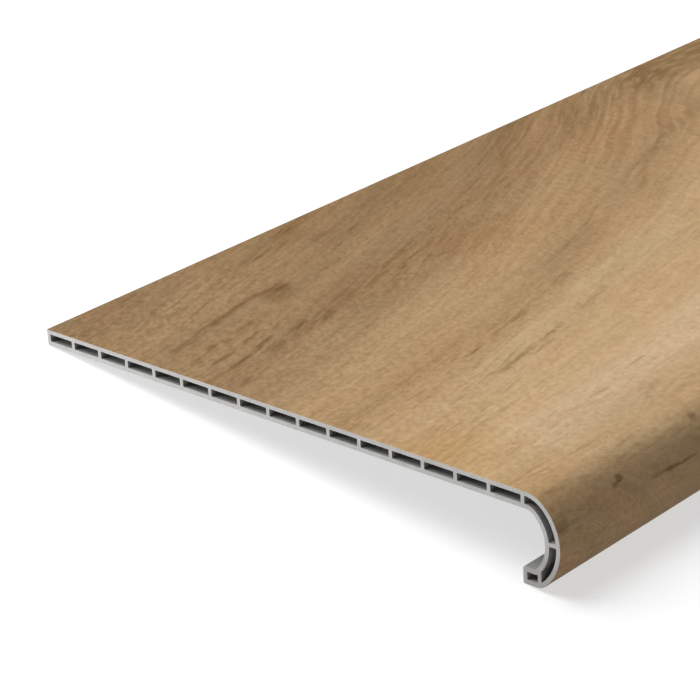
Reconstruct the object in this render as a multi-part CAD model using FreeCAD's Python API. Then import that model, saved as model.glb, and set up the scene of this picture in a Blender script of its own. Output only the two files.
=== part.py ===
# Hollow-chamber stair tread with a round nose, extruded in one piece and sawn to length.
#
# The section is drawn in its own axes: y runs from the foremost point of the nose to the back edge,
# and z runs up from the walking face. It is extruded along X, then laid down as the tread rests on a
# level floor, on the inner edge of its lip and on its back edge. The origin is at the bottom centre
# of the tread as it lies.
import FreeCAD, Part
import math
import os

# Driving dimensions, in millimetres and degrees
TREAD_LENGTH = 1000.0   # along the width of the stair
TREAD_DEPTH = 300.0     # foremost point of the nose to the back edge
THICKNESS = 8.0         # of the flat, of the nose and of the lip
WALL = 2.2              # skin on each side of the chambers
WEB = 1.8               # rib between two chambers
FLAT_CHAMBERS = 16      # chambers between the back edge and the bend
CHAMBER_RADIUS = 0.4    # inside corners of the chambers
NOSE_RADIUS = 25.0      # outer radius of the round nose
NOSE_TOP_ANGLE = 28.4   # corner between the walking face and the nose arc, before it is eased
NOSE_LIP_ANGLE = 35.3   # corner between the nose arc and the lip's underside, before it is eased
NOSE_RIB_ANGLE = 4.0    # rise of the nose's own rib, seen from the arc's centre
TOP_BLEND = 15.0        # eases the walking face into the nose arc
UNDER_BLEND = 3.0       # eases the underside into the nose's inner face
LIP_BLEND = 8.0         # eases the nose arc into the lip's underside
LIP_LENGTH = 6.4        # flat top of the lip, from the nose's inner face to the lip's end
LIP_ROUND = 1.2         # upper edge of the lip's end
EDGE_RADIUS = 0.6       # both back edges and the lip's lower edge

# Places that follow from them
QUARTER = math.pi / 2
TOUCHING = 1e-6
INNER_RADIUS = NOSE_RADIUS - THICKNESS
CENTRE_DROP = NOSE_RADIUS * math.cos(math.radians(NOSE_TOP_ANGLE))
NOSE_HEIGHT = CENTRE_DROP + NOSE_RADIUS * math.cos(math.radians(NOSE_LIP_ANGLE))
LIP_TOP = THICKNESS - NOSE_HEIGHT
CENTRE = (NOSE_RADIUS, -CENTRE_DROP)


def ahead_of_centre(reach, height):
    """The point at that height, in front of the arc's centre and at that distance from it."""
    return CENTRE[0] - math.sqrt(reach ** 2 - (height - CENTRE[1]) ** 2), height


TOP_BLEND_CENTRE = ahead_of_centre(NOSE_RADIUS - TOP_BLEND, -TOP_BLEND)
LIP_BLEND_CENTRE = ahead_of_centre(NOSE_RADIUS - LIP_BLEND, LIP_BLEND - NOSE_HEIGHT)
UNDER_BLEND_CENTRE = ahead_of_centre(INNER_RADIUS - UNDER_BLEND, -THICKNESS - UNDER_BLEND)
LIP_CORNER = ahead_of_centre(INNER_RADIUS, LIP_TOP)
LIP_END = LIP_CORNER[0] + LIP_LENGTH
LAST_RIB = TOP_BLEND_CENTRE[0] + WEB / 2
LIP_RIB = LIP_CORNER[0] - WALL
PITCH = (TREAD_DEPTH - LAST_RIB) / FLAT_CHAMBERS
ALONG = FreeCAD.Vector(TREAD_LENGTH, 0, 0)


def place(point):
    """A point of the section, on the plane of the tread's first end."""
    return FreeCAD.Vector(-TREAD_LENGTH / 2, point[0], point[1])


def polar(centre, radius, angle):
    """The point at that angle about a centre, counted from the back edge's side upwards, in radians."""
    return centre[0] + radius * math.cos(angle), centre[1] + radius * math.sin(angle)


def heading(start, end):
    """The angle of the way from one point to another, in radians from zero to a full turn."""
    return math.atan2(end[1] - start[1], end[0] - start[0]) % (4 * QUARTER)


def arc(centre, radius, start, end):
    """An arc's start, middle and end, or its centre alone where it has no radius."""
    if radius < TOUCHING:
        return [centre]
    return [polar(centre, radius, angle) for angle in (start, (start + end) / 2, end)]


def outer_corner(y, z, radius, start):
    """A quarter round in a square corner at (y, z), from the angle start, or the bare corner."""
    size = max(radius, 0)
    centre = polar((y, z), -size * math.sqrt(2), start + QUARTER / 2)
    return arc(centre, size, start, start + QUARTER)


def closed_wire(arcs):
    """A closed wire of the arcs, with a straight edge from each one's end to the next one's start."""
    edges = []
    last = arcs[-1]
    for now in arcs:
        points = [place(point) for point in now]
        before = place(last[-1])
        if before.distanceToPoint(points[0]) > TOUCHING:
            edges.append(Part.LineSegment(before, points[0]).toShape())
        if len(points) == 3:
            edges.append(Part.Arc(*points).toShape())
        last = now
    return Part.Wire(edges)


def outline(inset):
    """The section's outline, moved into the material by inset."""
    back = TREAD_DEPTH - inset
    lip_end = LIP_END - inset
    edge = EDGE_RADIUS - inset
    top_turn = heading(CENTRE, TOP_BLEND_CENTRE)
    lip_turn = heading(CENTRE, LIP_BLEND_CENTRE)
    under_turn = heading(CENTRE, UNDER_BLEND_CENTRE)
    corner_turn = heading(CENTRE, LIP_CORNER)
    return closed_wire([
        outer_corner(back, -inset, edge, 0),
        arc(TOP_BLEND_CENTRE, TOP_BLEND - inset, QUARTER, top_turn),
        arc(CENTRE, NOSE_RADIUS - inset, top_turn, lip_turn),
        arc(LIP_BLEND_CENTRE, LIP_BLEND - inset, lip_turn, 3 * QUARTER),
        outer_corner(lip_end, inset - NOSE_HEIGHT, edge, 3 * QUARTER),
        outer_corner(lip_end, LIP_TOP - inset, LIP_ROUND - inset, 0),
        arc(LIP_CORNER, inset, 3 * QUARTER, corner_turn),
        arc(CENTRE, INNER_RADIUS + inset, corner_turn, under_turn),
        arc(UNDER_BLEND_CENTRE, UNDER_BLEND + inset, under_turn, QUARTER),
        outer_corner(back, inset - THICKNESS, edge, 3 * QUARTER),
    ])


def rib(start, end):
    """A rib's cross-section from one point of the section to another."""
    side = heading(start, end) + QUARTER
    half = WEB / 2
    ring = [polar(start, half, side), polar(end, half, side)]
    ring += [polar(end, -half, side), polar(start, -half, side)]
    points = [place(point) for point in ring]
    return Part.Face(Part.makePolygon(points + points[:1]))


def ribs():
    """The ribs of the flat, the one across the nose and the one at the root of the lip."""
    faces = []
    for count in range(1, FLAT_CHAMBERS + 1):
        y = TREAD_DEPTH - count * PITCH
        faces.append(rib((y, -THICKNESS), (y, 0)))
    turn = 2 * QUARTER - math.radians(NOSE_RIB_ANGLE)
    faces.append(rib(polar(CENTRE, INNER_RADIUS, turn), polar(CENTRE, NOSE_RADIUS, turn)))
    faces.append(rib((LIP_RIB, -NOSE_HEIGHT), (LIP_RIB, CENTRE[1])))
    return faces


def is_sharp(body, edge):
    """Whether the two faces that meet in an edge turn a corner there."""
    point = edge.firstVertex().Point
    normals = []
    for face in body.ancestorsOfType(edge, Part.Face):
        u, v = face.Surface.parameter(point)
        normals.append(face.normalAt(u, v))
    return normals[0].getAngle(normals[1]) > math.radians(10)


def chamber(face):
    """The hollow that one chamber makes along the whole tread, with its corners rounded."""
    hollow = face.extrude(ALONG)
    radius = min(CHAMBER_RADIUS, (THICKNESS - 2 * WALL) / 3)
    lengthwise = [edge for edge in hollow.Edges if edge.BoundBox.XLength > TREAD_LENGTH / 2]
    sharp = [edge for edge in lengthwise if is_sharp(hollow, edge)]
    return hollow.makeFillet(radius, sharp)


def laid_down(body):
    """The tread turned onto the inner edge of its lip and its back edge, over the origin."""
    tilt = math.atan2(NOSE_HEIGHT - THICKNESS, TREAD_DEPTH - LIP_END)
    lying = body.copy()
    lying.rotate(FreeCAD.Vector(0, 0, 0), FreeCAD.Vector(1, 0, 0), -math.degrees(tilt))
    box = lying.optimalBoundingBox(False, False)
    lying.translate(FreeCAD.Vector(-box.Center.x, -box.Center.y, -box.ZMin))
    return lying


band = Part.Face(outline(WALL)).cut(Part.makeCompound(ribs()))
solid = Part.Face(outline(0)).extrude(ALONG)
tread = laid_down(solid.cut([chamber(face) for face in band.Faces]))
os.makedirs("parts", exist_ok=True)
tread.exportStep("parts/tread_profile.step")
print("solids", len(tread.Solids), "valid", tread.isValid(), "chambers", len(band.Faces))
print("volume in litres", round(tread.Volume / 1e6, 4), "nose height", round(NOSE_HEIGHT, 3))
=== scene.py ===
import math

import bmesh
import bpy
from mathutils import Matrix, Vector


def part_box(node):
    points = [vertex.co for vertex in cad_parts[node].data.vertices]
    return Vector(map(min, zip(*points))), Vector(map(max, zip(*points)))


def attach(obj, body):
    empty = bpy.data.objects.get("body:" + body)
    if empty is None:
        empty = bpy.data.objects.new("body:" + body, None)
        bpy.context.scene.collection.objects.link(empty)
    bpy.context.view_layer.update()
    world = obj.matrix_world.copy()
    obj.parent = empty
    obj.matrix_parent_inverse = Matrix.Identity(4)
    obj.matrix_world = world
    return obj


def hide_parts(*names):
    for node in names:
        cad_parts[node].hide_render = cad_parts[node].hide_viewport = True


bl_info = {
    "name": "Round-nosed stair tread",
    "version": (1, 0, 0),
    "blender": (4, 5, 0),
    "location": "3D View > Sidebar > Tread",
    "description": "Hollow-chamber stair tread with an oak decor, a sawn pale core and a studio stage",
    "category": "Add Mesh",
}

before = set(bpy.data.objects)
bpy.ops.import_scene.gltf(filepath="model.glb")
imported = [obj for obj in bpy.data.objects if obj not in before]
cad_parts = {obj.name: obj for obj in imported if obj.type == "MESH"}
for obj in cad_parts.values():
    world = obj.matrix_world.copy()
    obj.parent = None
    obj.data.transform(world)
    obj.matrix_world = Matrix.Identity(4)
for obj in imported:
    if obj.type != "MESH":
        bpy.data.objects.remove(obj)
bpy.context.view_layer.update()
NODE = "tread_profile"
NODE_LOW, NODE_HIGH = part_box(NODE)
MM = 0.001
QUARTER = math.pi / 2
FULL_TURN = 4 * QUARTER
DECOR_MAP = "decor_run"
SKIN, DECOR, SAWN = 0, 1, 2

# How finely the tread is modelled, and how its faces are told apart
TOUCHING = 1e-6  # places closer than this are one
ARC_STEP = math.radians(2)  # turn of one step round the nose
EDGE_STEPS = 4  # steps in the small rounds of the edges
LIP_STEPS = 5  # steps in the round of the lip's end
CHAMBER_STEPS = 3  # steps in the corners of the chambers
CORNER_TURN = math.radians(30)  # faces that turn more than this meet in a corner
SMOOTH_TURN = math.radians(20)  # faces that turn less than this are shaded as one
CUTTER_MARGIN = 5 * MM  # the chambers' cutters stand out this far past both ends
SQUARE_ON = 0.9  # least share of X in the normal of a sawn face
FACING_UP = 0.4  # least share of Z in the normal of a decor face on the back edge
OUTER_DEPTH = 3 * MM  # the decor's faces on the nose lie no deeper than this

# Noise in the core and the floor: features a metre along X, Y and Z, detail, roughness
SOLID_NOISE = {
    "crumbs": (1500, 1500, 1500, 3, 0.6),
    "clouds": (130, 130, 130, 3, 0.5),
    "saw_marks": (1, 1400, 120, 2, 0.5),
    "die_lines": (3, 1100, 1100, 3, 0.6),
    "skin_clouds": (40, 40, 40, 3, 0.5),
    "floor_speckle": (40, 40, 40, 2, 0.5),
}

# Spans of a noise's values that are spread out over the whole of an effect
NARROW_SPAN = (0.3, 0.7)
MIDDLE_SPAN = (0.25, 0.75)
WIDE_SPAN = (0.2, 0.8)

# Sawn core: its tone by layer, the painted shade low on its nose and lip, its roughness, gloss and bump
CRUMB_TONES = (0.92, 1.06)
CLOUD_TONES = (-0.06, 0.06)
SAW_TONES = (-0.04, 0.04)
# painted shade low on the nose and the lip of the sawn end: its depth, the heights and the places across
# between which it fades
LIP_PAINTED_SHADE = (0.24, 0.0)
LIP_SHADE_HEIGHTS = (0.006, 0.030)
LIP_SHADE_PLACES = (-0.125, -0.105)
SAWN_ROUGHNESS = (0.66, 0.82)
SAWN_GLOSS = 0.3
SAWN_BUMP = (0.35, 0.1 * MM)

# Extruded skin: its tone by layer, its roughness, gloss and bump
DIE_TONES = (0.88, 1.10)
SKIN_CLOUD_TONES = (-0.05, 0.05)
SKIN_ROUGHNESS = (0.46, 0.60)
SKIN_GLOSS = 0.35
SKIN_BUMP = (0.3, 0.1 * MM)

# Oak decor film: its roughness, gloss and bump, and how far its pores are sunk
OAK_ROUGHNESS = (0.62, 0.74)
OAK_GLOSS = 0.14
OAK_BUMP = (0.2, 0.2 * MM)
PORE_SINK = 0.6

# Slow wave of the grain along the tread: the lines rise towards the back edge, less so near the nose
WAVE_MIDDLE = 0.2  # place along the tread where the wave passes its middle
WAVE_LENGTH = 1.5  # length of one wave, which counts up to the top
WAVE_TOP = 0.575  # place along the tread where the wave has its top
FAR_WAVES = 0.3  # waves a metre past the top
WAVE_BASE = 0.743  # depth of the wave at the sawn end
SLANT_RUN = (0.06, 0.31)  # places across the decor between which the rise changes
SLANT = (0.078, 0.008)  # the rise at those places

# Noise of the decor: features a metre along the tread and across the grain, seed, detail, roughness
FIBRES = {
    "ripple": (24, 70, 3.1, 3, 0.5),
    "sway": (5, 12, 0.0, 2, 0.5),
    "bands": (5, 60, 1.7, 2, 0.5),
    "threads": (17, 300, 9.7, 2, 0.5),
    "hairs": (22, 520, 3.3, 2, 0.5),
    "flecks": (370, 460, 4.4, 2, 0.42),
    "pores": (480, 1000, 6.2, 1, 0.5),
    "lines": (4, 420, 8.8, 1, 0.5),
    "warmth": (18, 60, 12.3, 2, 0.5),
    "fraying": (150, 420, 5.5, 2, 0.6),
    "breaks": (70, 420, 2.9, 2, 0.5),
    "dashes": (55, 480, 2.2, 2, 0.5),
    "groups": (6, 30, 7.9, 2, 0.5),
}

# Layers that swing both ways: the span of noise that is spread out, and the swing to each side
SWINGS = {
    "ripple": (WIDE_SPAN, 1.4 * MM),
    "sway": (WIDE_SPAN, 4 * MM),
    "bands": (MIDDLE_SPAN, 0.10),
    "threads": (MIDDLE_SPAN, 0.08),
    "hairs": (MIDDLE_SPAN, 0.09),
    "flecks": (MIDDLE_SPAN, 0.19),
    "lines": (NARROW_SPAN, 0.07),
    "fraying": (MIDDLE_SPAN, 0.9 * MM),
}

# Layers that set in softly: the noise between which they do so, and their strength at both
ONSETS = {
    "pores": ((0.54, 0.70), (0.0, 1.0)),
    "rings": ((0.30, 0.60), (0.016, 0.05)),
    "warmth": ((0.34, 0.66), (0.0, 1.0)),
    "breaks": ((0.34, 0.58), (0.50, 1.12)),
    "pale_breaks": ((0.40, 0.65), (1.0, 0.2)),
    "threads": ((0.47, 0.62), (0.0, 1.0)),
    "dashes": ((0.55, 0.67), (0.0, 1.0)),
    "groups": ((0.42, 0.62), (0.10, 1.0)),
}

# Layers that change along the tread or across the decor: places between which they do, shares at both
FADES = {
    "bands": ("across", (0.10, 0.26), (1.0, 0.75)),
    "fan_along": ("along", (0.22, 0.32), (0.0, 1.0)),
    "fan_across": ("across", (0.08, 0.14), (1.0, 0.0)),
    "fibres": ("across", (0.0, 0.24), (1.2, 0.6)),
    "flecks_across": ("across", (0.0, 0.24), (1.3, 0.7)),
    "flecks_near": ("along", (0.02, 0.14), (1.12, 0.85)),
    "flecks_far": ("along", (0.12, 0.40), (1.0, 0.65)),
    "nose_lines": ("across", (0.20, 0.25), (0.0, 0.35)),
    "rings": ("across", (0.25, 0.29), (0.0, 1.0)),
    "bundle_threads": ("along", (0.10, 0.22), (0.45, 1.0)),
    "bundle_dashes": ("along", (0.10, 0.22), (0.9, 0.3)),
}

# Strength of the decor's other effects
PORE_DEPTH = 0.05  # how much a pore darkens
FAN_BANDS = (1.0, 0.3)  # share of the bands outside the fan of fine lines and in it
FAN_LINES = 1.4  # share of the fine lines in the fan
KNOT_LINES = 0.7  # share of the fine lines round a knot
KNOT_EDGE = (0.03, 0.30)  # bulge between which the rings of a knot set in
RINGS_PER_METRE = 220  # rings of a knot, counted across the grain
LIFT = 0.045  # lightens the board to make up for its dark marks
SHADE_SHARES = (0.85, 1.0, 1.3)  # how much of the shade red, green and blue take
COOL_LINES = (0.982, 1.008, 1.000)
WARM_LINES = (1.018, 0.992, 0.975)
TINT_EDGE = (0.0, 1.5)  # squared distance between which a tinted place ends
TINT_SHARES = (0.8, 0.0)
PATCH_EDGE = (0.0, 2.0)  # squared distance between which a patch ends
STREAK_SIDE = (0.4, 1.5)  # part of its half width between which a streak ends
STREAK_TIP = (0.6, 1.15)  # part of its half length between which a streak ends
DASH_DEPTH = 0.32  # how much the loose dashes darken
DARKEST = 0.8  # most of the dark oak that shows in a mark

# Marks of this board, with all lengths in millimetres

# Knots that the grain flows round: place along the tread and along the decor's run, reach both ways, lift
KNOTS = (
    (4, 320, 52, 40, 150),
    (118, 272, 10, 7, 5),
    (640, 170, 40, 24, 34),
    (800, 270, 36, 24, 38),
    (930, 70, 34, 20, 26),
)

# Arch of the grain at the back edge, told in the same way
ARCH = (450, 0, 100, 60, 36)
ARCH_STEADIES = ((0.0, 0.8), (1.0, 0.2))  # the arch, and the share of ripple and sway left in it

# Tones of the board across the grain, from the back edge to the lip, raised on the bend and the nose as
# painted light that lifts the shade there: place, tint and its level
BOARD_AND_PAINTED_LIFT = (
    (0, "oak_brown", 1.00),
    (45, "oak_mid", 0.94),
    (60, "oak_mid", 1.00),
    (74, "oak_mid", 0.90),
    (92, "oak_mid", 1.00),
    (112, "oak_mid", 0.90),
    (124, "oak_mid", 0.98),
    (148, "oak_honey", 0.93),
    (163, "oak_honey", 1.01),
    (182, "oak_honey", 0.98),
    (192, "oak_honey", 1.04),
    (203, "oak_gold", 0.92),
    (238, "oak_gold", 1.06),
    (252, "oak_pale", 1.00),
    (262, "oak_pale", 0.98),
    (282, "oak_gold", 0.96),
    # from here the levels are raised partly as painted light, lifting the shade on the bend and the nose
    (298, "oak_gold", 1.06),
    (312, "oak_honey", 1.18),
    (330, "oak_brown", 1.34),
)
BOARD_END = 400

# Dark streaks: start and end along the tread, grain line at the start and at the end, half width, depth
DARK_STREAKS = (
    # The long streak near the sawn end
    (12, 36, 72, 72.2, 2, 0.62),
    (33, 55, 72, 72, 2.3, 0.70),
    (53, 75, 72.2, 72.4, 2.1, 0.66),
    (72, 87, 72.8, 73.8, 1.9, 0.56),
    (84, 97, 74, 78.5, 2.1, 0.32),
    # Short streaks beside it
    (1, 14, 104.5, 104.5, 1.3, 0.50),
    (13, 34, 104.8, 105, 1.5, 0.64),
    (39, 55, 104.5, 104.5, 1.5, 0.60),
    (14, 33, 96.2, 96.2, 1.2, 0.58),
    (40, 56, 96, 96.4, 1.2, 0.58),
    (9, 19, 88, 87.6, 1.8, 0.36),
    (26, 34, 84.6, 85.8, 1.4, 0.50),
    (35, 42, 86.8, 88, 1.4, 0.54),
    (46, 63, 86.6, 88, 1.6, 0.50),
    (6, 19, 119.8, 120, 1.9, 0.56),
    (18, 30, 120.5, 120.5, 1.1, 0.40),
    # Short streaks further along
    (118, 131, 105, 105.5, 1.2, 0.34),
    (120, 146, 119, 121.5, 1.6, 0.28),
    (128, 136, 92.5, 95, 1.2, 0.34),
    (136, 143, 95, 93.5, 1.2, 0.34),
    (146, 153, 125.8, 126.2, 1.3, 0.50),
    (158, 182, 117.8, 117.8, 1.3, 0.34),
    (171, 182, 83, 83.8, 1.4, 0.40),
    (60, 78, 113, 109, 1.2, 0.46),
    (64, 80, 117.5, 114, 1.2, 0.42),
    (106, 124, 50, 49.5, 1.6, 0.30),
    (148, 172, 51, 54, 1.4, 0.16),
    # Streaks towards the nose
    (127, 144, 192.2, 192.2, 1.7, 0.44),
    (112, 128, 191.5, 191.8, 1.1, 0.26),
    (84, 106, 192, 191.8, 1.2, 0.26),
    (78, 117, 212.4, 212, 1.4, 0.42),
    (119, 134, 213, 212.6, 1.4, 0.44),
    (135, 142, 211, 210.5, 1.2, 0.34),
    (156, 165, 209, 208.5, 1.2, 0.32),
    (158, 188, 212.2, 211.2, 1.7, 0.30),
    (190, 255, 180.5, 180, 1.3, 0.16),
    (174, 192, 192.2, 193, 2.4, 0.36),
    (288, 318, 188, 188.5, 1, 0.26),
    (285, 380, 177, 184.5, 1.4, 0.16),
    (370, 430, 184, 196, 1.6, 0.16),
    # Long faint streaks in the middle
    (235, 275, 134, 133.5, 1.1, 0.24),
    (210, 290, 126, 130, 1.2, 0.20),
    (280, 312, 129, 112, 2, 0.18),
    # Marks on the bend and the nose
    (96, 118, 276.5, 270, 1.8, 0.24),
    (62, 96, 308, 310, 0.7, 0.66),
    # The far half of the tread
    (440, 560, 148, 150, 1.2, 0.30),
    (480, 640, 205, 210, 1, 0.30),
    (600, 700, 250, 247, 1, 0.30),
    (720, 880, 170, 164, 1.2, 0.36),
    (860, 980, 116, 118, 1.4, 0.42),
)

# Bundles of fine dark lines: middle along the tread and across the grain, half lengths both ways, depth
DARK_BUNDLES = (
    (30, 98, 45, 16, 0.22),
    (20, 38, 40, 8, 0.16),
    (140, 50, 40, 6, 0.26),
    (190, 80, 60, 9, 0.28),
    (140, 115, 50, 8, 0.10),
    (230, 128, 80, 11, 0.30),
    (310, 115, 50, 9, 0.26),
    (235, 145, 50, 4, 0.28),
    (375, 148, 50, 18, 0.20),
    (330, 179, 90, 7, 0.18),
    (205, 182, 50, 6, 0.22),
    (130, 192, 65, 5, 0.16),
    (110, 213, 70, 6, 0.14),
    (80, 256, 50, 8, 0.18),
    (500, 130, 100, 14, 0.30),
    (620, 220, 80, 10, 0.26),
    (780, 110, 120, 14, 0.30),
    (900, 200, 80, 12, 0.26),
)

# Dark and pale patches: middle along the tread and across the grain, half lengths both ways, depth
DARK_PATCHES = (
    (93, 83, 11, 8, 0.58),
    (99, 81.5, 5, 4.5, 0.40),
    (48, 111, 7, 3.2, 0.56),
    (68, 111.5, 10, 5.5, 0.42),
    (87, 114.8, 9, 4.2, 0.52),
    (106, 114, 9, 4.2, 0.46),
    (158, 72.5, 9, 5, 0.36),
    (150, 45, 50, 12, 0.16),
    (260, 75, 80, 22, 0.14),
    (380, 105, 70, 18, 0.18),
    (160, 56, 27, 8.5, 0.29),
    (240, 80, 30, 12, 0.10),
    (250, 142, 110, 10, 0.20),
    (215, 186.5, 40, 6, 0.15),
    (330, 186, 50, 6, 0.16),
    (405, 190.5, 30, 6, 0.20),
    (420, 164, 30, 10, 0.26),
    (380, 147, 35, 12, 0.22),
    (435, 179, 25, 8, 0.22),
    (328, 117, 25, 8, 0.18),
    (490, 170, 60, 15, 0.62),
    (380, 165, 70, 20, 0.12),
    (44.5, 300.5, 2.4, 1.6, 0.80),
    (40.5, 302, 2.2, 1, 0.50),
    (101, 296.5, 2.2, 2, 0.46),
    (3, 303.5, 5, 3, 0.40),
    (8, 322, 26, 15, 0.20),
)
PALE_PATCHES = (
    (88, 218, 28, 3.2, 0.42),
    (145, 203, 50, 3.4, 0.32),
    (195, 203, 22, 3, 0.40),
    (245, 206, 40, 7, 0.28),
    (95, 248, 50, 5, 0.42),
    (70, 264, 30, 3, 0.30),
    (64, 302, 18, 8, 0.22),
)

# Warmer and paler places, and a painted lift of the shade on the bend: middle along the tread and along the
# decor's run, reach both ways, tint
TINTS_AND_PAINTED_LIFT = (
    (0, 252, 40, 42, (0.905, 0.825, 0.670)),
    (340, 45, 70, 35, (1.000, 0.930, 0.900)),
    (205, 95, 40, 24, (0.940, 0.890, 0.830)),
    (45, 100, 55, 24, (1.110, 1.140, 1.200)),
    # painted light: a neutral lift that lightens the shade on the bend
    (92, 290, 32, 8, (1.180, 1.170, 1.180)),
)

# Stage: floor, lights, room and camera
FLOOR_SIZE = 40.0
FLOOR_DROP = 0.2 * MM  # keeps the floor clear of the tread's lowest edges
FLOOR_GREYS = (0.39, 0.41)
FLOOR_ROUGHNESS = 0.9
FLOOR_GLOW_RUN = (1.2, 3.5)  # distance from the tread over which the floor grows whiter
FLOOR_GLOW = (0.60, 0.95)
TREAD_MIDDLE = (0, 0, 0)
SAWN_END = (-0.5, 0.12, 0.03)
LIGHTS = (  # name, place, what it looks at, size, power
    ("key", (-0.78, 1.43, 2.03), TREAD_MIDDLE, 2.2, 104),
    ("end_fill", (-0.9, 0.50, 0.06), SAWN_END, 0.12, 1.7),
)
WHITE = (1, 1, 1, 1)
ROOM_LIGHT = 0.15
CAMERA_PLACE = (-1.28061, -0.70922, 0.63042)
CAMERA_DEGREES = (61.4302, -2.0674, -48.0600)
CAMERA_LENS = 145.98  # millimetres
CAMERA_SENSOR = 36  # millimetres
CAMERA_REACH = 50.0


def length_of(name, default, description):
    """A size of the tread in metres, shown in the scene's own unit of length."""
    return bpy.props.FloatProperty(name=name, description=description, default=default, min=0.0,
                                   precision=5, subtype="DISTANCE", unit="LENGTH")


def turn_of(name, degrees, description):
    """An angle of the section, kept in radians."""
    return bpy.props.FloatProperty(name=name, description=description, default=math.radians(degrees),
                                   subtype="ANGLE", unit="ROTATION")


def colour_of(name, default, description):
    """A base colour in linear light."""
    return bpy.props.FloatVectorProperty(name=name, description=description, default=default, size=3,
                                         min=0.0, max=1.0, subtype="COLOR")


class TreadSizes(bpy.types.PropertyGroup):
    """The section of the tread and its length"""
    length: length_of("Length", NODE_HIGH[0] - NODE_LOW[0], "Along the width of the stair")
    depth: length_of("Depth", 300 * MM, "Foremost point of the nose to the back edge")
    thickness: length_of("Thickness", 8 * MM, "Of the flat, of the nose and of the lip")
    wall: length_of("Wall", 2.2 * MM, "Skin on each side of the chambers")
    rib: length_of("Rib", 1.8 * MM, "Rib between two chambers")
    chambers: bpy.props.IntProperty(name="Chambers", default=16, min=2,
                                    description="Chambers between the back edge and the bend")
    chamber_radius: length_of("Chamber radius", 0.4 * MM, "Inside corners of the chambers")
    nose_radius: length_of("Nose radius", 25 * MM, "Outer radius of the round nose")
    nose_top: turn_of("Top corner", 28.4, "Corner between walking face and nose arc, before it is eased")
    nose_lip: turn_of("Lip corner", 35.3, "Corner between nose arc and lip, before it is eased")
    nose_rib: turn_of("Nose rib", 4.0, "Rise of the nose's own rib, seen from the arc's centre")
    top_blend: length_of("Top blend", 15 * MM, "Eases the walking face into the nose arc")
    lip_blend: length_of("Lip blend", 8 * MM, "Eases the nose arc into the lip's underside")
    lip_length: length_of("Lip length", 6.4 * MM, "Flat top of the lip")
    lip_round: length_of("Lip round", 1.2 * MM, "Upper edge of the lip's end")
    edge_round: length_of("Edge round", 0.6 * MM, "Back edges and the lip's lower edge")
    sawn_break: length_of("Sawn edge", 0.22 * MM, "Slight break of the outer edges at the sawn ends")


class TreadFinish(bpy.types.PropertyGroup):
    """The colours of the core and of the oak decor"""
    sawn: colour_of("Sawn core", (0.430, 0.421, 0.410), "Core where the saw has cut it")
    # darker than the sawn core partly because the smooth skin is darker, partly as painted shade for the
    # chambers and under the nose
    skin: colour_of("Extruded skin", (0.260, 0.257, 0.252), "Core as it left the die, inside and underneath")
    oak_dark: colour_of("Dark oak", (0.095, 0.043, 0.005), "Knots and dark streaks")
    oak_brown: colour_of("Brown oak", (0.180, 0.109, 0.050), "Heart of the boards")
    oak_mid: colour_of("Middle oak", (0.230, 0.1405, 0.0665), "Between heart and sapwood")
    oak_honey: colour_of("Honey oak", (0.300, 0.190, 0.0945), "Middle of the face")
    oak_gold: colour_of("Golden oak", (0.380, 0.252, 0.131), "Sapwood near the nose")
    oak_pale: colour_of("Pale oak", (0.440, 0.311, 0.183), "Pale flecks")


def heading(centre, point):
    """The angle of a point about a centre, from the back edge's side upwards, up to a full turn."""
    return math.atan2(point[1] - centre[1], point[0] - centre[0]) % FULL_TURN


class Section:
    """Places in the section as the tread lies on its step: y back from the nose, z up from the face."""

    def __init__(self, sizes):
        self.sizes = sizes
        radius = sizes.nose_radius
        drop = radius * math.cos(sizes.nose_top)
        self.height = drop + radius * math.cos(sizes.nose_lip)
        self.centre = (radius, -drop)
        self.top_centre = self.ahead(radius - sizes.top_blend, -sizes.top_blend)
        self.lip_centre = self.ahead(radius - sizes.lip_blend, sizes.lip_blend - self.height)
        self.top_turn = heading(self.centre, self.top_centre)
        self.lip_turn = heading(self.centre, self.lip_centre)
        self.rib_turn = 2 * QUARTER - sizes.nose_rib
        self.half_rib_turn = sizes.rib / 2 / (radius - sizes.thickness / 2)
        self.bend = self.top_centre[0]
        self.lip_end = self.lip_centre[0] + sizes.lip_length
        self.lip_rib = self.lip_centre[0] - sizes.wall
        self.pitch = (sizes.depth - self.bend - sizes.rib / 2) / sizes.chambers
        self.tilt = math.atan2(self.height - sizes.thickness, sizes.depth - self.lip_end)
        self.run_to_bend = sizes.depth - self.bend
        self.run_to_nose = self.run_to_bend + sizes.top_blend * (self.top_turn - QUARTER)
        self.run_to_lip = self.run_to_nose + radius * (self.lip_turn - self.top_turn)
        self.run_end = self.run_to_lip + sizes.lip_blend * (3 * QUARTER - self.lip_turn)

    def ahead(self, reach, height):
        """The point at that height, in front of the nose's centre and at that distance from it."""
        return self.centre[0] - math.sqrt(reach ** 2 - (height - self.centre[1]) ** 2), height

    def run(self, y, z):
        """How far a point of the outer face lies from the back edge, measured along the decor."""
        sizes = self.sizes
        above = z > self.centre[1]
        about = heading(self.centre, (y, z))
        if above and y >= self.bend:
            return sizes.depth - y
        if above and about < self.top_turn:
            return self.run_to_bend + sizes.top_blend * (heading(self.top_centre, (y, z)) - QUARTER)
        if z < self.centre[1] and about > self.lip_turn:
            return self.run_to_lip + sizes.lip_blend * (heading(self.lip_centre, (y, z)) - self.lip_turn)
        return self.run_to_nose + sizes.nose_radius * (about - self.top_turn)


def metres(lengths):
    """Lengths of the board's marks, from millimetres."""
    return [length * MM for length in lengths]


def select_only(piece):
    """Selects one object and makes it active."""
    bpy.ops.object.select_all(action="DESELECT")
    piece.select_set(True)
    bpy.context.view_layer.objects.active = piece


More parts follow.
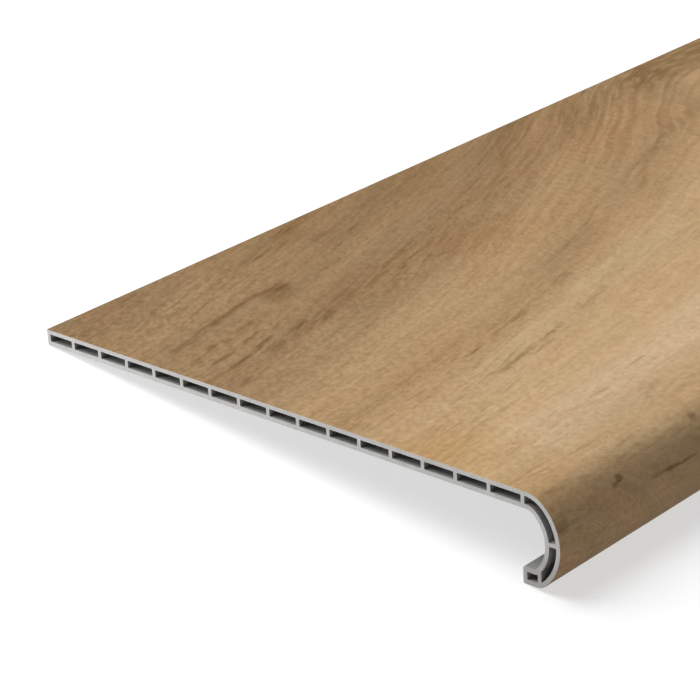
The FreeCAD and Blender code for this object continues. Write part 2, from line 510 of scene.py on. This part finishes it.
def add_sheet(name, x, low, high):
    """A flat sheet across the tread at x, between two corners (y, z), open for editing."""
    bpy.ops.object.select_all(action="DESELECT")
    middle = (x, (low[0] + high[0]) / 2, (low[1] + high[1]) / 2)
    bpy.ops.mesh.primitive_plane_add(size=1, location=middle, rotation=(0, QUARTER, 0))
    sheet = bpy.context.object
    sheet.scale = (high[1] - low[1], high[0] - low[0], 1)
    sheet.name = name
    sheet.data.name = name
    bpy.ops.object.transform_apply(location=True, rotation=True, scale=True)
    bpy.ops.object.mode_set(mode="EDIT")
    return sheet


def pick(piece, kind, wanted):
    """Selects the vertices, edges or faces that wanted accepts, and nothing else."""
    bpy.ops.mesh.select_mode(type=kind)
    bpy.ops.mesh.select_all(action="DESELECT")
    mesh = bmesh.from_edit_mesh(piece.data)
    items = {"VERT": mesh.verts, "EDGE": mesh.edges, "FACE": mesh.faces}[kind]
    chosen = [item for item in items if wanted(item)]
    if not chosen:
        raise RuntimeError(f"nothing to select on {piece.name}")
    for item in chosen:
        item.select_set(True)
    bmesh.update_edit_mesh(piece.data)


def near(a, b):
    """Whether two places are one."""
    return abs(a - b) < TOUCHING


def middle_of(item):
    """The middle of an edge or a face."""
    return sum((corner.co for corner in item.verts), Vector()) / len(item.verts)


def spin(centre, angle):
    """Spins the selected edge about a point of the section, with a positive angle down round the nose."""
    axis = (-1 if angle > 0 else 1, 0, 0)
    steps = max(1, round(abs(angle) / ARC_STEP))
    bpy.ops.mesh.spin(steps=steps, angle=abs(angle), center=(0, *centre), axis=axis)


def draw_out(way):
    """Extrudes what is selected by that way."""
    bpy.ops.mesh.extrude_region_move(TRANSFORM_OT_translate={"value": way})


def draw_out_along(length):
    """Extrudes the whole sheet along the tread and turns the new faces outwards."""
    bpy.ops.mesh.select_all(action="SELECT")
    draw_out((length, 0, 0))
    bpy.ops.mesh.select_all(action="SELECT")
    bpy.ops.mesh.normals_make_consistent(inside=False)


def close_up():
    """Merges doubles, turns all faces outwards and leaves edit mode."""
    bpy.ops.mesh.select_all(action="SELECT")
    bpy.ops.mesh.remove_doubles(threshold=TOUCHING)
    bpy.ops.mesh.normals_make_consistent(inside=False)
    bpy.ops.object.mode_set(mode="OBJECT")


def bend_strip(section):
    """The section with no chambers: a strip with rounded back edges, spun round the nose to the lip."""
    sizes = section.sizes
    strip = add_sheet("tread", -sizes.length / 2, (section.bend, -sizes.thickness), (sizes.depth, 0))
    pick(strip, "VERT", lambda corner: near(corner.co.y, sizes.depth))
    bpy.ops.mesh.bevel(offset=sizes.edge_round, segments=EDGE_STEPS, affect="VERTICES")
    bpy.ops.mesh.select_all(action="SELECT")
    bpy.ops.mesh.bisect(plane_co=(0, section.bend + sizes.thickness, 0), plane_no=(0, 1, 0))
    pick(strip, "EDGE", lambda edge: near(middle_of(edge).y, section.bend))
    spin(section.top_centre, section.top_turn - QUARTER)
    spin(section.centre, section.lip_turn - section.top_turn)
    spin(section.lip_centre, 3 * QUARTER - section.lip_turn)
    draw_out((0, sizes.lip_length, 0))
    bpy.ops.mesh.select_all(action="SELECT")
    bpy.ops.mesh.remove_doubles(threshold=TOUCHING)
    return strip


def round_lip(strip, section):
    """Rounds the upper and the lower corner of the lip's end."""
    sizes = section.sizes
    upper = (sizes.thickness - section.height, sizes.lip_round, LIP_STEPS)
    lower = (-section.height, sizes.edge_round, EDGE_STEPS)
    for height, radius, steps in (upper, lower):
        pick(strip, "VERT", lambda corner: near(corner.co.y, section.lip_end) and near(corner.co.z, height))
        bpy.ops.mesh.bevel(offset=radius, segments=steps, affect="VERTICES")


def make_solid(section):
    """The tread with no chambers yet: its section drawn out along X, with the rims of both ends broken."""
    solid = bend_strip(section)
    round_lip(solid, section)
    draw_out_along(section.sizes.length)

    def on_sawn_rim(edge):
        across = [abs(face.normal.x) > SQUARE_ON for face in edge.link_faces]
        return len(across) == 2 and across[0] != across[1]
    pick(solid, "EDGE", on_sawn_rim)
    bpy.ops.mesh.bevel(offset=section.sizes.sawn_break, segments=1, affect="EDGES")
    close_up()
    return solid


def add_hollow(name, section, low, high):
    """A chamber's section as a flat sheet just past the first sawn end, open for editing."""
    return add_sheet(name, -section.sizes.length / 2 - CUTTER_MARGIN, low, high)


def finish_hollow(hollow, section):
    """Draws a chamber out along the whole tread and past its ends, and rounds its corners."""
    sizes = section.sizes
    draw_out_along(sizes.length + 2 * CUTTER_MARGIN)

    def is_corner(edge):
        lengthwise = abs(edge.verts[0].co.x - edge.verts[1].co.x) > sizes.length / 2
        return lengthwise and edge.is_manifold and edge.calc_face_angle() > CORNER_TURN
    pick(hollow, "EDGE", is_corner)
    bpy.ops.mesh.bevel(offset=sizes.chamber_radius, segments=CHAMBER_STEPS, affect="EDGES")
    close_up()
    return hollow


def back_chamber(section):
    """The chamber at the back edge, which the outer wall closes."""
    sizes = section.sizes
    low = (sizes.depth - section.pitch + sizes.rib / 2, sizes.wall - sizes.thickness)
    high = (sizes.depth - sizes.wall, -sizes.wall)
    return finish_hollow(add_hollow("back_chamber", section, low, high), section)


def flat_chambers(section):
    """The other chambers of the flat: one, repeated at the pitch of the ribs."""
    sizes = section.sizes
    back = sizes.depth - section.pitch - sizes.rib / 2
    low = (back - section.pitch + sizes.rib, sizes.wall - sizes.thickness)
    row = finish_hollow(add_hollow("flat_chambers", section, low, (back, -sizes.wall)), section)
    repeat = row.modifiers.new("row", "ARRAY")
    repeat.use_relative_offset = False
    repeat.use_constant_offset = True
    repeat.constant_offset_displace = (0, -section.pitch, 0)
    repeat.count = sizes.chambers - 1
    bpy.ops.object.modifier_apply(modifier=repeat.name)
    return row


def upper_nose_chamber(section):
    """The chamber that bends from the last rib of the flat to the nose's own rib."""
    sizes = section.sizes
    low = (section.bend, sizes.wall - sizes.thickness)
    high = (section.bend + sizes.rib / 2, -sizes.wall)
    upper = add_hollow("upper_nose_chamber", section, low, high)
    pick(upper, "EDGE", lambda edge: near(middle_of(edge).y, section.bend))
    spin(section.top_centre, section.top_turn - QUARTER)
    spin(section.centre, section.rib_turn - section.half_rib_turn - section.top_turn)
    pick(upper, "FACE", lambda face: middle_of(face).y > section.bend)
    bpy.ops.mesh.delete(type="FACE")
    return finish_hollow(upper, section)


def lower_nose_chambers(section):
    """The chamber from the nose's rib down to the lip's rib, and the lip's own chamber behind that rib."""
    sizes = section.sizes
    half = sizes.rib / 2
    low = (section.lip_centre[0], sizes.wall - section.height)
    high = (section.lip_end - sizes.wall, sizes.thickness - section.height - sizes.wall)
    lower = add_hollow("lower_nose_chamber", section, low, high)
    pick(lower, "EDGE", lambda edge: near(middle_of(edge).y, section.lip_centre[0]))
    spin(section.lip_centre, section.lip_turn - 3 * QUARTER)
    spin(section.centre, section.rib_turn + section.half_rib_turn - section.lip_turn)
    for side in (section.lip_rib - half, section.lip_rib + half):
        bpy.ops.mesh.select_all(action="SELECT")
        bpy.ops.mesh.bisect(plane_co=(0, side, 0), plane_no=(0, 1, 0))
    pick(lower, "FACE", lambda face: abs(middle_of(face).y - section.lip_rib) < half)
    bpy.ops.mesh.delete(type="FACE")
    return finish_hollow(lower, section)


def make_hollows(section):
    """One cutter for all the chambers."""
    back = back_chamber(section)
    row = flat_chambers(section)
    upper = upper_nose_chamber(section)
    lower = lower_nose_chambers(section)
    select_only(row)
    for hollow in (back, upper, lower):
        hollow.select_set(True)
    bpy.ops.object.join()
    return row


def cut_hollows(solid, hollows):
    """Takes the chambers out of the solid."""
    select_only(solid)
    cut = solid.modifiers.new("chambers", "BOOLEAN")
    cut.operation = "DIFFERENCE"
    cut.solver = "EXACT"
    cut.object = hollows
    bpy.ops.object.modifier_apply(modifier=cut.name)
    bpy.data.objects.remove(hollows)


def has_decor(face, section):
    """Whether the decor covers a face: the walking face, the nose and its way down to the lip."""
    sizes = section.sizes
    y, z = face.center.y, face.center.z
    if z > section.centre[1] and y >= section.bend:
        round_depth = 2 * sizes.edge_round
        break_depth = 1.5 * sizes.sawn_break
        over_edge = z > -round_depth and face.normal.z > FACING_UP
        return over_edge or z > -break_depth
    if z < section.centre[1] and y >= section.lip_centre[0]:
        return False
    away = (y - section.centre[0], z - section.centre[1])
    outwards = away[0] * face.normal.y + away[1] * face.normal.z > 0
    outermost = math.hypot(*away) > sizes.nose_radius - OUTER_DEPTH
    return outwards and outermost and section.run(y, z) < section.run_end


def dress(piece, section):
    """Gives each face its finish, and those with decor the map that follows the bend."""
    mesh = piece.data
    mapped = mesh.uv_layers.new(name=DECOR_MAP)
    for face in mesh.polygons:
        if abs(face.normal.x) > SQUARE_ON:
            face.material_index = SAWN
        elif has_decor(face, section):
            face.material_index = DECOR
            for corner in face.loop_indices:
                place = mesh.vertices[mesh.loops[corner].vertex_index].co
                along = place.x + section.sizes.length / 2
                mapped.data[corner].uv = (along, section.run(place.y, place.z))
        else:
            face.material_index = SKIN


def lay_down(piece, section):
    """Turns the tread onto its lip and back edge, over the origin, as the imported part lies."""
    select_only(piece)
    piece.rotation_euler = (-section.tilt, 0, 0)
    bpy.ops.object.transform_apply(location=True, rotation=True, scale=True)
    ys = [corner.co.y for corner in piece.data.vertices]
    zs = [corner.co.z for corner in piece.data.vertices]
    piece.location = (0, -(min(ys) + max(ys)) / 2, -min(zs))
    bpy.ops.object.transform_apply(location=True, rotation=True, scale=True)


class Nodes:
    """Short words for the nodes of one material."""

    def __init__(self, name):
        self.material = bpy.data.materials.new(name)
        self.material.use_nodes = True
        self.tree = self.material.node_tree
        self.shader = self.tree.nodes["Principled BSDF"]

    def add(self, kind, **settings):
        """A new node with these settings."""
        node = self.tree.nodes.new(kind)
        for key, value in settings.items():
            setattr(node, key, value)
        return node

    def feed(self, socket, value):
        """Links a node's result to a socket, or sets a plain value on it."""
        if isinstance(value, bpy.types.NodeSocket):
            self.tree.links.new(value, socket)
        else:
            socket.default_value = value

    def math(self, operation, first, second=0.0, third=0.0):
        """The result of a Math node."""
        node = self.add("ShaderNodeMath", operation=operation)
        for socket, value in zip(node.inputs, (first, second, third)):
            self.feed(socket, value)
        return node.outputs[0]

    def plus(self, first, second):
        return self.math("ADD", first, second)

    def times(self, first, second):
        return self.math("MULTIPLY", first, second)

    def spread(self, value, span, result=(0.0, 1.0), smooth=True):
        """A value within a span, carried over to the span of the result."""
        kind = "SMOOTHSTEP" if smooth else "LINEAR"
        node = self.add("ShaderNodeMapRange", interpolation_type=kind, clamp=True)
        for socket, number in zip(node.inputs, (value, *span, *result)):
            self.feed(socket, number)
        return node.outputs["Result"]

    def place(self, x, y, z):
        """A vector of three values."""
        node = self.add("ShaderNodeCombineXYZ")
        for socket, value in zip(node.inputs, (x, y, z)):
            self.feed(socket, value)
        return node.outputs[0]

    def split(self, vector):
        """The three values of a vector."""
        node = self.add("ShaderNodeSeparateXYZ")
        self.feed(node.inputs[0], vector)
        return node.outputs

    def here(self):
        """The place in the piece's own metres, as three values."""
        return self.split(self.add("ShaderNodeTexCoord").outputs["Object"])

    def noise(self, place, detail, roughness):
        """Noise at a place that is counted in features."""
        node = self.add("ShaderNodeTexNoise", noise_dimensions="3D")
        self.feed(node.inputs["Vector"], place)
        for key, value in (("Scale", 1.0), ("Detail", detail), ("Roughness", roughness)):
            node.inputs[key].default_value = value
        return node.outputs["Fac"]

    def solid_noise(self, name, here):
        """A layer of noise that runs through the piece."""
        *features, detail, roughness = SOLID_NOISE[name]
        counted = [self.times(value, count) for value, count in zip(here, features)]
        return self.noise(self.place(*counted), detail, roughness)

    def ramp(self, value, stops):
        """The colour at a value between colour stops."""
        node = self.add("ShaderNodeValToRGB")
        self.feed(node.inputs[0], value)
        elements = node.color_ramp.elements
        while len(elements) < len(stops):
            elements.new(0.5)
        for element, (position, colour) in zip(elements, stops):
            element.position = position
            element.color = (*colour, 1)
        return node.outputs["Color"]

    def mix(self, factor, first, second, blend="MIX"):
        """Two colours mixed by a factor."""
        node = self.add("ShaderNodeMix", data_type="RGBA", blend_type=blend)
        self.feed(node.inputs["Factor"], factor)
        for name, value in (("A", first), ("B", second)):
            socket = next(item for item in node.inputs if item.name == name and item.type == "RGBA")
            self.feed(socket, value if isinstance(value, bpy.types.NodeSocket) else (*value, 1))
        return next(item for item in node.outputs if item.type == "RGBA")

    def grey(self, value):
        """A grey of that level."""
        node = self.add("ShaderNodeCombineColor")
        for socket in node.inputs:
            self.feed(socket, value)
        return node.outputs[0]

    def finish_surface(self, colour, roughness, gloss, height, bump):
        """Feeds the shader, with a bump of that strength and depth from the height."""
        strength, depth = bump
        node = self.add("ShaderNodeBump")
        node.inputs["Strength"].default_value = strength
        node.inputs["Distance"].default_value = depth
        self.feed(node.inputs["Height"], height)
        self.feed(self.shader.inputs["Normal"], node.outputs[0])
        self.feed(self.shader.inputs["Base Color"], colour)
        self.feed(self.shader.inputs["Roughness"], roughness)
        self.shader.inputs["Specular IOR Level"].default_value = gloss
        return self.material


def sawn_material(finish):
    """Pale core as the saw leaves it: fine crumbs, soft clouds, faint saw marks, and painted shade that
    darkens it low on the nose and lip.
    """
    nodes = Nodes("sawn_core")
    here = nodes.here()
    _, y, z = here
    crumbs = nodes.solid_noise("crumbs", here)
    clouds = nodes.solid_noise("clouds", here)
    marks = nodes.solid_noise("saw_marks", here)
    tone = nodes.spread(crumbs, NARROW_SPAN, CRUMB_TONES, False)
    tone = nodes.plus(tone, nodes.spread(clouds, NARROW_SPAN, CLOUD_TONES, False))
    tone = nodes.plus(tone, nodes.spread(marks, NARROW_SPAN, SAW_TONES, False))
    # painted shade: the sawn end darkens towards the bottom of the nose and the lip
    low = nodes.spread(z, LIP_SHADE_HEIGHTS, LIP_PAINTED_SHADE)
    painted_shade = nodes.times(low, nodes.spread(y, LIP_SHADE_PLACES, (1.0, 0.0)))
    tone = nodes.math("SUBTRACT", tone, painted_shade)
    colour = nodes.mix(1.0, finish.sawn, nodes.grey(tone), "MULTIPLY")
    roughness = nodes.spread(crumbs, NARROW_SPAN, SAWN_ROUGHNESS, False)
    return nodes.finish_surface(colour, roughness, SAWN_GLOSS, nodes.plus(crumbs, marks), SAWN_BUMP)


def skin_material(finish):
    """The same core as it left the die: smoother and greyer, and darker partly as painted shade for the
    chambers and under the nose, with fine lines along the tread.
    """
    nodes = Nodes("extruded_skin")
    here = nodes.here()
    lines = nodes.solid_noise("die_lines", here)
    clouds = nodes.solid_noise("skin_clouds", here)
    tone = nodes.spread(lines, MIDDLE_SPAN, DIE_TONES, False)
    tone = nodes.plus(tone, nodes.spread(clouds, NARROW_SPAN, SKIN_CLOUD_TONES, False))
    colour = nodes.mix(1.0, finish.skin, nodes.grey(tone), "MULTIPLY")
    roughness = nodes.spread(lines, NARROW_SPAN, SKIN_ROUGHNESS, False)
    return nodes.finish_surface(colour, roughness, SKIN_GLOSS, lines, SKIN_BUMP)


class OakDecor(Nodes):
    """The nodes of the oak decor, on the map that runs along the tread and across its bent face."""

    def __init__(self, finish):
        super().__init__("oak_decor")
        self.finish = finish
        mapped = self.add("ShaderNodeUVMap", uv_map=DECOR_MAP).outputs[0]
        self.along, self.across, _ = self.split(mapped)
        self.lay_grain()
        self.threads = self.fibre("threads", self.grain)
        self.flecks = self.fibre("flecks", self.flow)
        self.pores = self.onset("pores", self.fibre("pores", self.flow))
        self.dashes = self.onset("dashes", self.fibre("dashes", self.flow))
        self.frayed = self.plus(self.flow, self.swing("fraying", self.fibre("fraying", self.flow)))
        fleck_share = self.times(self.fade("flecks_across"), self.fade("flecks_near"))
        self.fleck_share = self.times(fleck_share, self.fade("flecks_far"))

    def fibre(self, name, line):
        """A layer of noise along the tread and across the lines of the grain."""
        per_metre, lines, seed, detail, roughness = FIBRES[name]
        spot = self.place(self.times(self.along, per_metre), self.times(line, lines), seed)
        return self.noise(spot, detail, roughness)

    def swing(self, name, noise):
        """A layer's noise as a swing to both sides of nought."""
        span, amount = SWINGS[name]
        return self.spread(noise, span, (-amount, amount), False)

    def onset(self, name, noise):
        """A layer's noise as a strength that sets in softly."""
        span, strengths = ONSETS[name]
        return self.spread(noise, span, strengths)

    def fade(self, name):
        """A layer's share by its place on the decor."""
        way, places, shares = FADES[name]
        return self.spread({"along": self.along, "across": self.across}[way], places, shares)

    def squared_distance(self, line, lengths):
        """How far a point is from a place along the tread and across the lines, in reaches, squared."""
        at, run, reach_along, reach_across = metres(lengths)
        sideways = self.times(self.plus(self.along, -at), 1 / reach_along)
        upwards = self.times(self.plus(line, -run), 1 / reach_across)
        return self.math("MULTIPLY_ADD", sideways, sideways, self.times(upwards, upwards))

    def bulge(self, lengths):
        """One at a place of the decor, and soft to nought around it."""
        squared = self.squared_distance(self.across, lengths)
        return self.math("EXPONENT", self.times(squared, -1))

    def lay_grain(self):
        """Finds each point's line: flow ripples a little, and grain also sways and turns round the knots."""
        close = self.math("MINIMUM", self.along, WAVE_TOP)
        far = self.math("SUBTRACT", self.along, close)
        turns = self.times(self.plus(close, -WAVE_MIDDLE), 1 / WAVE_LENGTH)
        turns = self.plus(turns, self.times(far, FAR_WAVES))
        wave = self.math("SINE", self.times(turns, FULL_TURN))
        rise = self.times(self.plus(wave, WAVE_BASE), self.spread(self.across, SLANT_RUN, SLANT, False))
        flow = self.plus(self.across, rise)

        *lengths, lift = ARCH
        arch = self.bulge(lengths)
        flow = self.math("MULTIPLY_ADD", arch, lift * MM, flow)
        steady = self.spread(arch, *ARCH_STEADIES, False)
        ripple = self.swing("ripple", self.fibre("ripple", self.across))
        self.flow = self.math("MULTIPLY_ADD", ripple, steady, flow)
        sway = self.swing("sway", self.fibre("sway", self.across))
        self.grain = self.math("MULTIPLY_ADD", sway, steady, self.flow)

        self.knotted = 0.0
        for *lengths, lift in KNOTS:
            bulge = self.bulge(lengths)
            self.grain = self.plus(self.grain, self.times(bulge, lift * MM))
            self.knotted = self.math("MAXIMUM", bulge, self.knotted)

    def board(self):
        """The board's broad tones across the grain, raised on the bend and the nose as painted light."""
        stops = []
        for at, tint, level in BOARD_AND_PAINTED_LIFT:
            stops.append((at / BOARD_END, [level * part for part in getattr(self.finish, tint)]))
        return self.ramp(self.times(self.flow, 1 / (BOARD_END * MM)), stops)

    def shade(self):
        """How much the bands, fibres, flecks, fine lines and knot rings lighten or darken the board."""
        fan = self.times(self.fade("fan_along"), self.fade("fan_across"))
        bands = self.swing("bands", self.fibre("bands", self.grain))
        bands = self.times(bands, self.fade("bands"))
        bands = self.times(bands, self.spread(fan, (0.0, 1.0), FAN_BANDS, False))
        hairs = self.swing("hairs", self.fibre("hairs", self.flow))
        fibres = self.plus(self.swing("threads", self.threads), hairs)
        shade = self.math("MULTIPLY_ADD", fibres, self.fade("fibres"), bands)
        flecks = self.math("MULTIPLY_ADD", self.pores, -PORE_DEPTH, self.swing("flecks", self.flecks))
        shade = self.math("MULTIPLY_ADD", flecks, self.fleck_share, shade)

        knotted = self.spread(self.knotted, KNOT_EDGE)
        lines = self.swing("lines", self.fibre("lines", self.grain))
        lined = self.math("MAXIMUM", self.times(fan, FAN_LINES), self.fade("nose_lines"))
        lined = self.math("MAXIMUM", lined, self.times(knotted, KNOT_LINES))
        shade = self.math("MULTIPLY_ADD", lines, lined, shade)
        rings = self.math("SINE", self.times(self.grain, FULL_TURN * RINGS_PER_METRE))
        rings = self.times(rings, self.onset("rings", self.threads))
        rings = self.times(rings, self.fade("rings"))
        return self.math("MULTIPLY_ADD", rings, knotted, self.plus(shade, LIFT))

    def shaded(self, colour):
        """The board with its shade, its warm and cool lines, its tinted places and a painted lift of the
        shade on the bend.
        """
        shade = self.shade()
        tones = [self.math("MULTIPLY_ADD", shade, share, 1.0) for share in SHADE_SHARES]
        colour = self.mix(1.0, colour, self.place(*tones), "MULTIPLY")
        warmth = self.onset("warmth", self.fibre("warmth", self.grain))
        colour = self.mix(1.0, colour, self.mix(warmth, COOL_LINES, WARM_LINES), "MULTIPLY")
        for *lengths, tint in TINTS_AND_PAINTED_LIFT:
            squared = self.squared_distance(self.across, lengths)
            colour = self.mix(self.spread(squared, TINT_EDGE, TINT_SHARES), colour, tint, "MULTIPLY")
        return colour

    def patches(self, places):
        """The cover of soft patches with frayed edges."""
        cover = 0.0
        for *lengths, depth in places:
            squared = self.squared_distance(self.frayed, lengths)
            cover = self.plus(self.spread(squared, PATCH_EDGE, (depth, 0.0)), cover)
        return cover

    def streaks(self):
        """The cover of the dark streaks, soft at their sides and tips."""
        cover = 0.0
        for *lengths, depth in DARK_STREAKS:
            start, end, first, last, half_width = metres(lengths)
            half_length = (end - start) / 2
            line = self.spread(self.along, (start, end), (first, last), False)
            off = self.math("ABSOLUTE", self.math("SUBTRACT", self.frayed, line))
            side = self.spread(off, [part * half_width for part in STREAK_SIDE], (depth, 0.0))
            past = self.math("ABSOLUTE", self.plus(self.along, -(start + end) / 2))
            tip = self.spread(past, [part * half_length for part in STREAK_TIP], (1.0, 0.0))
            cover = self.plus(self.times(side, tip), cover)
        return cover

    def marked(self, colour):
        """The board with its pale and dark patches, its streaks and bundles, and loose groups of dashes."""
        breaks = self.fibre("breaks", self.flow)
        pale = self.times(self.patches(PALE_PATCHES), self.onset("pale_breaks", breaks))
        colour = self.mix(pale, colour, self.finish.oak_pale)

        dark = self.plus(self.patches(DARK_PATCHES), self.streaks())
        dark = self.times(dark, self.onset("breaks", breaks))
        strands = self.times(self.onset("threads", self.threads), self.fade("bundle_threads"))
        strands = self.math("MULTIPLY_ADD", self.dashes, self.fade("bundle_dashes"), strands)
        dark = self.math("MULTIPLY_ADD", self.patches(DARK_BUNDLES), strands, dark)
        groups = self.onset("groups", self.fibre("groups", self.grain))
        loose = self.times(self.times(self.dashes, groups), self.times(self.fleck_share, DASH_DEPTH))
        dark = self.spread(self.plus(dark, loose), (0.0, 1.0), (0.0, DARKEST), False)
        return self.mix(dark, colour, self.finish.oak_dark)


def oak_material(finish):
    """Oak decor film: a board's tones, grain that flows round its knots, flecks, streaks and dashes."""
    decor = OakDecor(finish)
    colour = decor.marked(decor.shaded(decor.board()))
    roughness = decor.spread(decor.flecks, NARROW_SPAN, OAK_ROUGHNESS, False)
    height = decor.plus(decor.flecks, decor.times(decor.pores, -PORE_SINK))
    return decor.finish_surface(colour, roughness, OAK_GLOSS, height, OAK_BUMP)


class TREAD_OT_profile(bpy.types.Operator):
    """Model the whole tread: the bent strip, its chambers, the decor and the core"""
    bl_idname = "tread.profile"
    bl_label = "Tread"

    def execute(self, context):
        section = Section(context.scene.tread_sizes)
        finish = context.scene.tread_finish
        tread = make_solid(section)
        cut_hollows(tread, make_hollows(section))
        tread.data.materials.clear()
        for material in (skin_material(finish), oak_material(finish), sawn_material(finish)):
            tread.data.materials.append(material)
        dress(tread, section)
        lay_down(tread, section)
        bpy.ops.object.shade_smooth_by_angle(angle=SMOOTH_TURN)
        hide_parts(NODE)
        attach(tread, "root")
        return {"FINISHED"}


def floor_material():
    """Pale speckled floor that grows whiter away from the tread."""
    nodes = Nodes("pale_floor")
    here = nodes.here()
    speckle = nodes.solid_noise("floor_speckle", here)
    colour = nodes.grey(nodes.spread(speckle, WIDE_SPAN, FLOOR_GREYS, False))
    away = nodes.math("MULTIPLY_ADD", here[0], here[0], nodes.times(here[1], here[1]))
    glow = nodes.spread(nodes.math("SQRT", away), FLOOR_GLOW_RUN, FLOOR_GLOW)
    nodes.feed(nodes.shader.inputs["Base Color"], colour)
    nodes.feed(nodes.shader.inputs["Emission Strength"], glow)
    nodes.shader.inputs["Emission Color"].default_value = WHITE
    nodes.shader.inputs["Roughness"].default_value = FLOOR_ROUGHNESS
    nodes.shader.inputs["Specular IOR Level"].default_value = 0.0
    return nodes.material


def add_floor():
    """The floor that the tread lies on."""
    bpy.ops.object.select_all(action="DESELECT")
    bpy.ops.mesh.primitive_plane_add(size=FLOOR_SIZE, location=(0, 0, -FLOOR_DROP))
    floor = bpy.context.object
    floor.name = "pale_floor"
    floor.data.materials.append(floor_material())


def add_light(name, place, target, size, power):
    """A soft square light that looks at a point."""
    bpy.ops.object.select_all(action="DESELECT")
    way = Vector(target) - Vector(place)
    bpy.ops.object.light_add(type="AREA", location=place)
    light = bpy.context.object
    light.name = name
    light.rotation_euler = way.to_track_quat("-Z", "Y").to_euler()
    light.data.shape = "SQUARE"
    light.data.size = size
    light.data.energy = power
    light.visible_camera = False


def add_room(scene):
    """An even white room round the stage, with plain colours in the render."""
    world = bpy.data.worlds.new("soft_room")
    world.use_nodes = True
    background = world.node_tree.nodes["Background"]
    background.inputs["Color"].default_value = WHITE
    background.inputs["Strength"].default_value = ROOM_LIGHT
    scene.world = world
    scene.view_settings.view_transform = "Standard"


def add_camera(scene):
    """The camera at the photograph's place, on the sawn end and the nose."""
    bpy.ops.object.select_all(action="DESELECT")
    turn = [math.radians(value) for value in CAMERA_DEGREES]
    bpy.ops.object.camera_add(location=CAMERA_PLACE, rotation=turn)
    camera = bpy.context.object
    camera.name = "photo_view"
    camera.data.lens = CAMERA_LENS
    camera.data.sensor_width = CAMERA_SENSOR
    camera.data.clip_end = CAMERA_REACH
    scene.camera = camera


class TREAD_OT_stage(bpy.types.Operator):
    """Set up the pale floor, the soft lights and the camera"""
    bl_idname = "tread.stage"
    bl_label = "Stage"

    def execute(self, context):
        add_floor()
        for light in LIGHTS:
            add_light(*light)
        add_room(context.scene)
        add_camera(context.scene)
        return {"FINISHED"}


class TREAD_PT_panel(bpy.types.Panel):
    """The tread's sizes, colours and steps"""
    bl_idname = "TREAD_PT_panel"
    bl_label = "Stair tread"
    bl_space_type = "VIEW_3D"
    bl_region_type = "UI"
    bl_category = "Tread"

    def draw(self, context):
        layout = self.layout
        for group in (context.scene.tread_sizes, context.scene.tread_finish):
            column = layout.column(align=True)
            for key in group.__annotations__:
                column.prop(group, key)
        layout.operator(TREAD_OT_profile.bl_idname)
        layout.operator(TREAD_OT_stage.bl_idname)


CLASSES = (TreadSizes, TreadFinish, TREAD_OT_profile, TREAD_OT_stage, TREAD_PT_panel)


def register():
    for item in CLASSES:
        bpy.utils.register_class(item)
    bpy.types.Scene.tread_sizes = bpy.props.PointerProperty(type=TreadSizes)
    bpy.types.Scene.tread_finish = bpy.props.PointerProperty(type=TreadFinish)


def unregister():
    del bpy.types.Scene.tread_finish
    del bpy.types.Scene.tread_sizes
    for item in reversed(CLASSES):
        bpy.utils.unregister_class(item)


def main():
    register()
    bpy.ops.tread.profile()
    bpy.ops.tread.stage()


if __name__ == "__main__":
    main()
